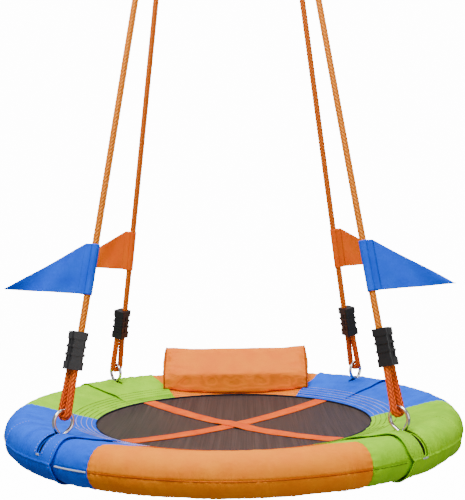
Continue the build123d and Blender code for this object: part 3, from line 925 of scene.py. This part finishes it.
def strap(name, angle, crossing):
    """Flat webbing across the seat, its ends under the border."""
    turn = radians(angle)
    ahead = np.array([cos(turn), sin(turn), 0])
    side = np.array([-sin(turn), cos(turn), 0])
    along = np.linspace(-STRAP_END_R, STRAP_END_R, 260)
    across = np.linspace(-0.5, 0.5, 15)
    verts, uv = [], []
    for s in along:
        height = strap_height(s, crossing) + STRAP_T / 2
        wave = 0.0007 * sin(s / 0.017) * sin(s / 0.05 + angle)
        for a in across:
            dip = -0.0002 * (abs(a) > 0.47)
            place = ahead * s + side * a * STRAP_WIDTH
            verts.append((place[0], place[1], SEAT_Z + height + dip + wave * a))
            uv.append((s, a * STRAP_WIDTH))
    faces = grid_faces(len(along), len(across))
    material = materials["webbing_orange"]
    piece = mesh_piece(f"cross_strap_web_{name}", verts, faces, "swing", material, uv)
    modify(piece, "SOLIDIFY", thickness=0.0017, offset=0)
    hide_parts(f"cross_strap_{name}")
    rows, normals = [], []
    up = np.array([0, 0, 1.0])
    for edge in (-0.42, 0.42):
        for s in np.arange(-0.305, 0.305, 0.0046):
            ends = []
            for t in (s, s + 0.0030):
                height = strap_height(t, crossing) + STRAP_T
                ends.append(ahead * t + side * edge * STRAP_WIDTH + up * (SEAT_Z + height - 0.0003))
            rows.append(ends)
            normals.append(up)
    title = f"strap_stitches_{name}"
    sewn(title, rows, normals, 0.0032, 0.0004, "swing", "thread_orange")


strap("lower", 45, 0.0)
strap("upper", -45, STRAP_T + 0.0003)

# ---- flags ----
FLAG_LOW = {"front": 0.305, "back": 0.340}
FLAG_RISE = 0.013
SLEEVE_R = ROPE_R + 0.0009
SLEEVE_SEAM = 0.019


def flag(name, colour):
    """A pennant of one cloth whose hoist wraps the rope and is sewn to itself."""
    route = rope_route(name)
    low, high = route[7], route[8]
    along = (high - low).normalized()
    foot = low + along * ((SEAT_Z + FLAG_LOW[name.split("_")[0]] - low.z) / along.z)
    outward = Vector((1 if "right" in name else -1, 0, 0))
    outward = (outward - along * outward.dot(along)).normalized()
    facing = along.cross(outward)
    tip_height = (FLAG_RISE - FLAG_REACH * outward.z) / along.z
    # the cloth's path in plan: from the seam, round the rope, back to the seam, out to the tip
    wrap = []
    lead = asin(0.0006 / SLEEVE_R)
    for t in np.linspace(0, 1, 6):
        wrap.append((SLEEVE_SEAM + t * (SLEEVE_R * 0.55 - SLEEVE_SEAM), -0.0005 - 0.0062 * t**1.5))
    for a in np.linspace(-0.92, 0.92 - 2 * pi, 30):
        wrap.append((SLEEVE_R * cos(a - lead), SLEEVE_R * sin(a - lead)))
    for t in np.linspace(1, 0, 6):
        wrap.append((SLEEVE_SEAM + t * (SLEEVE_R * 0.55 - SLEEVE_SEAM), 0.0005 + 0.0062 * t**1.5))
    outer = [(x, 0.0005) for x in np.linspace(SLEEVE_SEAM, FLAG_REACH, 60)[1:]]
    plan = np.array(wrap + outer)
    rows = 44
    verts, uv = [], []
    arc = np.r_[0, np.cumsum(np.hypot(*np.diff(plan, axis=0).T))]
    wave_seed = HANGERS[name] * 0.31
    for i in range(rows):
        v = i / (rows - 1)
        for (x, y), s in zip(plan, arc):
            out = max(0.0, (x - SLEEVE_SEAM) / (FLAG_REACH - SLEEVE_SEAM))
            bottom = tip_height * out
            top = FLAG_HOIST + (tip_height - FLAG_HOIST) * out
            width = 0.0016
            height = bottom + v * max(top - bottom, width)
            sway = 0.0045 * out**1.3 * sin(x / 0.030 + 2.2 * v + wave_seed)
            sway += 0.0014 * min(1.0, out * 6) * sin(x / 0.011 + height / 0.018 + wave_seed)
            place = foot + along * height + outward * x + facing * (y + sway)
            verts.append(place)
            uv.append((s, height))
    faces = grid_faces(rows, len(plan))
    piece = mesh_piece(f"flag_cloth_{name}", verts, faces, f"flag_{name}", materials[colour], uv)
    modify(piece, "SOLIDIFY", thickness=0.0007, offset=0)
    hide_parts(f"flag_{name}")
    rows_of = []
    for h in np.arange(0.004, FLAG_HOIST - 0.004, 0.0042):
        for x, depth in ((SLEEVE_SEAM + 0.0008, 0.0011), (SLEEVE_SEAM + 0.0008, -0.0011)):
            start = foot + along * h + outward * x + facing * (depth * 0.6)
            rows_of.append((start, start + along * 0.0028, facing * (1 if depth > 0 else -1)))
    normals = [np.array(r[2]) for r in rows_of]
    rows = [(r[0], r[1]) for r in rows_of]
    thread = colour.replace("flag", "thread")
    sewn(f"flag_stitches_{name}", rows, normals, 0.003, 0.00035, f"flag_{name}", thread)


for name in HANGERS:
    flag(name, "flag_blue" if "front" in name else "flag_orange")


# ---- pillow ----
PILLOW_SWELL = 0.0045


def pillow():
    """The wedge pillow: its CAD foam, remeshed and swollen by cloth simulation."""
    source = nodes["pillow_foam"]
    mesh = source.data.copy()
    mesh.materials.clear()
    piece = placed("pillow_cloth", mesh)
    modify(piece, "REMESH", mode="VOXEL", voxel_size=0.006, use_smooth_shade=True)
    bake_modifiers(piece)
    rest = np.array([v.co for v in piece.data.vertices])
    section = np.hypot(np.hypot(rest[:, 0], rest[:, 1]) - RING_R, rest[:, 2] - SEAT_Z)
    seat_r = np.hypot(rest[:, 0], rest[:, 1])
    border = border_height(seat_r)
    gap = np.minimum(section - PAD_R, np.where(seat_r < RING_R, rest[:, 2] - SEAT_Z - border, 9))
    free = np.clip((gap - 0.010) / 0.02, 0, 1)
    scene = bpy.context.scene
    cloth = piece.modifiers.new("cloth", "CLOTH")
    cloth.settings.quality = 6
    cloth.settings.use_pressure = True
    cloth.settings.uniform_pressure_force = 4.0
    cloth.settings.effector_weights.gravity = 0
    cloth.settings.tension_stiffness = 45
    cloth.settings.compression_stiffness = 45
    cloth.settings.bending_stiffness = 2.0
    cloth.point_cache.frame_start = 1
    cloth.point_cache.frame_end = 20
    for step in range(1, 21):
        scene.frame_set(step)
    bake_modifiers(piece)
    scene.frame_set(1)
    moved = np.array([v.co for v in piece.data.vertices]) - rest
    size = np.linalg.norm(moved, axis=1)
    # a firm foam block: the case crowns a little and keeps its level edges
    cap = PILLOW_SWELL * free
    moved *= np.minimum(1, cap / np.maximum(size, 1e-9))[:, None]
    piece.data.vertices.foreach_set("co", (rest + moved).astype(np.float32).ravel())
    piece.data.update()
    modify(piece, "SUBSURF", levels=1, render_levels=1)
    bake_modifiers(piece)
    wrinkle(piece, free_from_ring=0.008)
    piece.data.materials.append(materials["pillow_orange"])
    piece.data.polygons.foreach_set("use_smooth", [True] * len(piece.data.polygons))
    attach(piece, "pillow")
    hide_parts("pillow_case", "pillow_foam")
    return piece


def wrinkle(piece, free_from_ring):
    """Creases that run in from the pillow's ends."""
    mesh = piece.data
    places = np.array([v.co for v in mesh.vertices])
    normals = np.array([v.normal for v in mesh.vertices])
    from_end = PILLOW_LENGTH / 2 - np.abs(places[:, 0])
    fan = np.stack([places[:, 0] / 0.07, places[:, 1] / 0.014, places[:, 2] / 0.014], 1)
    creases = 1 - np.minimum(np.abs(noise_at(fan, 2)) * 3.2, 1)
    slow = noise_at(places / 0.055, 2)
    near_end = np.exp(-np.maximum(from_end, 0) / 0.035)
    lift = 0.0024 * creases * near_end + 0.0007 * slow
    section = np.hypot(np.hypot(places[:, 0], places[:, 1]) - RING_R, places[:, 2] - SEAT_Z)
    lift *= np.clip((section - PAD_R - free_from_ring) / 0.01, 0, 1)
    mesh.vertices.foreach_set("co", (places + normals * lift[:, None]).astype(np.float32).ravel())
    mesh.update()


pillow_cloth = pillow()


def pillow_seam(piece):
    """Piping round each end of the pillow, laid on its surface."""
    tree = BVHTree.FromObject(piece, bpy.context.evaluated_depsgraph_get())
    parts = []
    centre_y, centre_z = 0.385, SEAT_Z + 0.070
    for end in (-1, 1):
        x = end * (PILLOW_LENGTH / 2 - 0.006)
        path = []
        for angle in np.linspace(radians(-18), radians(222), 90):
            ray = Vector((0, cos(angle), sin(angle)))
            hit = tree.ray_cast(Vector((x, centre_y, centre_z)) + ray * 0.16, -ray)
            if hit[0] is not None:
                path.append(hit[0] + ray * 0.0004)
        if len(path) > 4:
            parts.append(tube_mesh(np.array(path), 0.0019, 8))
    if parts:
        verts, faces = joined(parts)
        seam = mesh_piece("pillow_piping", verts, faces, "pillow", materials["piping_orange"])


pillow_seam(pillow_cloth)


def curved_strip(name, node_name, radius, low, high, first, last, body, material, thickness):
    """A strip of cloth bent round the ring, with rounded corners."""
    angles = np.radians(np.linspace(low, high, 40))
    thetas = np.radians(np.linspace(first, last, 44))
    verts, uv = [], []
    half_arc = radians(last - first) * RING_R / 2
    for theta in thetas:
        u = (theta - radians((first + last) / 2)) * RING_R / half_arc
        for angle in angles:
            v = (angle - radians((low + high) / 2)) / radians((high - low) / 2)
            # squares off towards its corners, like a rounded tape
            pinch = 1 - 0.06 * max(0.0, abs(v) - 0.8) / 0.2 * u * u
            spin = radians((first + last) / 2) + u * pinch * half_arc / RING_R
            r = RING_R + radius * cos(angle)
            verts.append((r * cos(spin), r * sin(spin), SEAT_Z + radius * sin(angle)))
            uv.append((u * half_arc, angle * radius))
    faces = grid_faces(len(thetas), len(angles))
    piece = mesh_piece(name, verts, faces, body, materials[material], uv)
    modify(piece, "SOLIDIFY", thickness=thickness, offset=0)
    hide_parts(node_name)
    return piece


patch = curved_strip(
    "pillow_patch_cloth", "pillow_loop_patch", 0.0406, 12, 78, 82, 98, "swing", "hook_loop", 0.0009
)
flap = curved_strip(
    "pillow_flap_cloth", "pillow_flap", 0.0424, 6, 96, 81, 99, "pillow", "pillow_orange", 0.0016
)


# ---- a black sheet in each slit: painted shade ----
SHADE_SHEET_R = PAD_R - 0.0030


def slit_shade_sheet(name):
    """A strip of black cloth just under the panel's skin, below the slit: painted shade in the slit's
    opening.
    """
    hanger = radians(HANGERS[name])
    angles = np.radians(np.linspace(SLIT_ENDS[name] - 6, 128, 44))
    offsets = np.linspace(-0.0150, 0.0150, 9)
    verts, uv = [], []
    for offset in offsets:
        for angle in angles:
            out = RING_R + SHADE_SHEET_R * cos(angle)
            theta = hanger + offset / out
            up = SEAT_Z + SHADE_SHEET_R * sin(angle)
            verts.append((out * cos(theta), out * sin(theta), up))
            uv.append((offset, angle * PAD_R))
    faces = grid_faces(len(offsets), len(angles))
    shade_sheet = mesh_piece(f"slit_shade_sheet_{name}", verts, faces, "swing", materials["shade_sheet"], uv)
    modify(shade_sheet, "SOLIDIFY", thickness=0.0006, offset=-1)


for name in HANGERS:
    slit_shade_sheet(name)

# ---- seams, piping and stitching on the ring ----
def equator_piping(name):
    """Piping along a panel's outer seam, up to its cuff."""
    start, stop = PANELS[name], PANELS[name] + PANEL_SPAN
    spans = [(start + 0.15, stop - 0.15)]
    if name in HANGERS:
        first, last = CUFF_ENDS[name]
        hanger = HANGERS[name] % 360
        spans = [(start + 0.15, hanger + first - 0.1), (hanger + last + 0.1, stop - 0.15)]
    parts = []
    for low, high in spans:
        if high - low < 1:
            continue
        thetas = np.radians(np.arange(low, high, 0.35))
        radius = RING_R + PAD_R + 0.0002 + 0 * thetas
        height = -0.0012 + 0.0008 * np.sin(thetas * 9)
        path = around_ring(np.stack([radius, height], 1), thetas)
        # white piping on blue, and a thin seam in the cloth's own colour elsewhere
        parts.append(tube_mesh(path, 0.0017 if "blue" in PANEL_FABRIC[name] else 0.0009, 8))
    verts, faces = joined(parts)
    key = PANEL_FABRIC[name].replace("fabric", "piping")
    piece = mesh_piece(f"seam_piping_{name}", verts, faces, "swing", materials[key])


for name in PANELS:
    equator_piping(name)


def border_stitches(name):
    """Rows of stitching along the border, one behind the other."""
    rows, normals = [], []
    for k in range(5):
        radius = MESH_R + 0.010 + 0.0115 * k
        height = border_height(radius) + 0.0006
        step = 0.0058 / radius
        for theta in np.arange(radians(PANELS[name] + 0.5), radians(PANELS[name] + PANEL_SPAN - 0.5), step):
            raised = 0.0022 * float(in_cuff(np.degrees(np.array(theta))))
            raised *= min(1.0, max(0.0, (radius - CUFF_BORDER_R) / FLAP_TAPER))
            ends = [
                np.array([radius * cos(t), radius * sin(t), SEAT_Z + height + raised])
                for t in (theta, theta + 0.0036 / radius)
            ]
            rows.append(ends)
            normal = np.array([-sin(border_slope) * cos(theta), -sin(border_slope) * sin(theta), 1.0])
            normals.append(normal / np.linalg.norm(normal))
    fabric = PANEL_FABRIC[name]
    title = f"border_stitches_{name}"
    sewn(title, rows, normals, 0.0046, 0.00075, "swing", THREADS[fabric])


for name in PANELS:
    border_stitches(name)


def cuff_stitches(name):
    """Lock-stitching behind the cuff's hems and round its slit, and a bar tack at the slit's end."""
    graph = bpy.context.evaluated_depsgraph_get()
    tree = BVHTree.FromObject(cuffs[name], graph)
    first, last = CUFF_ENDS[name]
    hanger = radians(HANGERS[name])
    rows, normals = [], []

    def on_cuff(theta, angle):
        """The cuff's outer surface at an angle round the seat and round the section."""
        outward = Vector((cos(theta) * cos(angle), sin(theta) * cos(angle), sin(angle)))
        centre = Vector((cos(theta), sin(theta), 0)) * RING_R + seat_centre
        hit = tree.ray_cast(centre + outward * 0.075, -outward, 0.06)
        return hit[0], outward

    def row(points):
        for (start, normal), (end, _) in zip(points[::2], points[1::2]):
            if start is not None and end is not None and (end - start).length < 0.006:
                rows.append((start, end))
                normals.append(np.array(normal))

    hem = 0.0085 / RING_R
    for theta in (hanger + radians(first) + hem, hanger + radians(last) - hem):
        row([on_cuff(theta, a) for a in np.arange(radians(-140), radians(100), 0.0030 / CUFF_R)])
    for side in (-1, 1):
        points = []
        for angle in np.arange(radians(SLIT_ENDS[name] + 3), radians(112), 0.0030 / CUFF_R):
            gap = float(slit_half_width(np.array(angle), name)) + 0.0042
            points.append(on_cuff(hanger + side * gap / (RING_R + CUFF_R * cos(angle)), angle))
        row(points)
    fabric = PANEL_FABRIC[name]
    title = f"cuff_stitches_{name}"
    sewn(title, rows, normals, 0.0030, 0.00048, "swing", THREADS[fabric])
    rows.clear()
    normals.clear()
    for k in range(4):
        angle = radians(SLIT_ENDS[name]) - k * 0.0008 / CUFF_R
        left, normal = on_cuff(hanger - 0.0092 / (RING_R + CUFF_R), angle)
        right, _ = on_cuff(hanger + 0.0092 / (RING_R + CUFF_R), angle)
        if left is not None and right is not None:
            rows.append((left, right))
            normals.append(np.array(normal))
    title = f"slit_bar_tack_{name}"
    sewn(title, rows, normals, 0.0190, 0.0007, "swing", "thread_white")


for name in HANGERS:
    cuff_stitches(name)

# ---- CAD nodes that stay: their materials, and softened moulded edges ----
CAD_MATERIALS = {
    "carabiner": "zinc_steel",
    "hanger_ring": "zinc_steel",
    "top_ring": "zinc_steel",
    "frame_tube": "steel_tube",
    "frame_screws": "zinc_steel",
    "foam_sleeve": "foam",
    "rope_adjuster": "black_plastic",
    "rope_sleeve": "black_plastic",
}
for name, item in nodes.items():
    for prefix, key in CAD_MATERIALS.items():
        if name.startswith(prefix):
            for slot in item.material_slots:
                slot.material = materials[key]
            if key == "black_plastic":
                modify(item, "BEVEL", width=0.0006, segments=2, limit_method="ANGLE")


# ---- floor, backdrop and light ----
FLOOR_GLOW = 14.0  # the same all over, so that the floor is white from every side
STAGE_R = 7.0
STAGE_TURNS = 64


def add_stage():
    """A round pale floor that curves up into a backdrop on every side."""
    floor_z = SEAT_Z - 0.45
    bend = 1.5
    profile = [(0.0005, 0.0), (STAGE_R - bend, 0.0)]
    for t in np.linspace(0, pi / 2, 12)[1:]:
        profile.append((STAGE_R - bend + bend * sin(t), bend * (1 - cos(t))))
    profile.append((STAGE_R, 9.0))
    turns = np.linspace(0, 2 * pi, STAGE_TURNS + 1)
    verts = [(r * cos(t), r * sin(t), floor_z + z) for r, z in profile for t in turns]
    faces = grid_faces(len(profile), len(turns))
    mesh = bpy.data.meshes.new("floor")
    mesh.from_pydata(verts, [], faces)
    mesh.polygons.foreach_set("use_smooth", [True] * len(mesh.polygons))
    floor = placed("floor", mesh)
    material, tree, shader = new_material("floor", 0.9)
    shader.inputs["Base Color"].default_value = (0.62, 0.62, 0.62, 1)
    shader.inputs["Specular IOR Level"].default_value = 0.0
    shader.inputs["Emission Color"].default_value = (1, 1, 1, 1)
    shader.inputs["Emission Strength"].default_value = FLOOR_GLOW
    mesh.materials.append(material)
    # it is seen, and doesn't light the swing's underside
    floor.visible_diffuse = False
    floor.visible_glossy = False


def add_light(name, place, aim, size, power):
    """A soft square light at a place, aimed at a point."""
    data = bpy.data.lights.new(name, "AREA")
    data.size = size
    data.energy = power
    light = placed(name, data)
    light.location = place
    light.rotation_euler = (Vector(aim) - Vector(place)).to_track_quat("-Z", "Y").to_euler()


add_stage()
aim = seat_centre + Vector((0, 0, 0.15))
add_light("key", aim + Vector((-0.7, -1.3, 2.6)), aim, 1.2, 108)
add_light("fill", aim + Vector((1.8, -2.6, 1.0)), aim, 2.0, 34)
add_light("top", aim + Vector((0.2, 0.6, 2.6)), aim, 1.6, 78)
world = bpy.data.worlds.new("studio")
world.use_nodes = True
world.node_tree.nodes["Background"].inputs["Color"].default_value = (1, 1, 1, 1)
world.node_tree.nodes["Background"].inputs["Strength"].default_value = 0.34
bpy.context.scene.world = world
